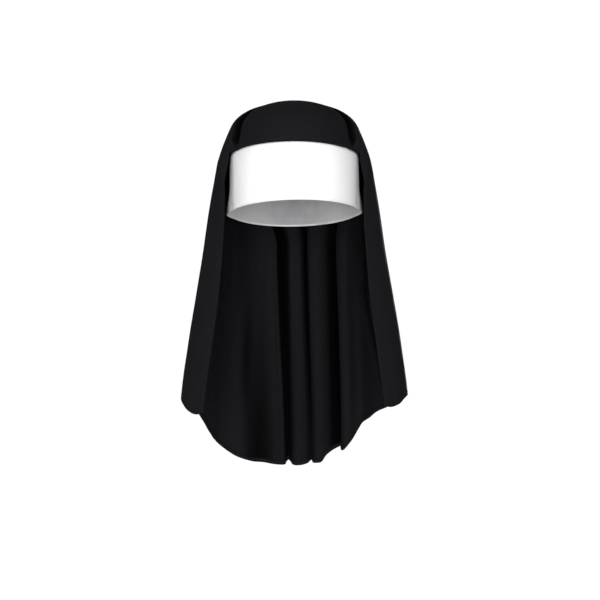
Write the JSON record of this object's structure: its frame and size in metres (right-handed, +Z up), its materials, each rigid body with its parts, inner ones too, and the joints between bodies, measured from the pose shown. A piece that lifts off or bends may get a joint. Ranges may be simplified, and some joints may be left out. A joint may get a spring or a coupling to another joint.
{
  "type": "nun's veil with headband, worn form",
  "caption": "Black veil sewn to a stiff white headband ring, draped as worn, open at the face and below, longer at the back.",
  "frame": {"origin": "centre of the headband's lower opening, where the head carries it", "axes": "+Z up, the face opening faces -Y, +X to the right of someone facing it"},
  "size_m": [0.285, 0.2594, 0.4736],
  "materials": {
    "veil_black": "smooth black polyester crepe, slight satin sheen",
    "headband_white": "smooth white cloth over stiffening, matte",
    "lining_grey": "plain grey woven lining, matte"
  },
  "bodies": {
    "root": {"headband": "headband_white", "headband_lining": "lining_grey", "veil": "veil_black", "veil_hem": "veil_black", "veil_edge_left": "veil_black", "veil_edge_right": "veil_black"}
  },
  "joints": []
}
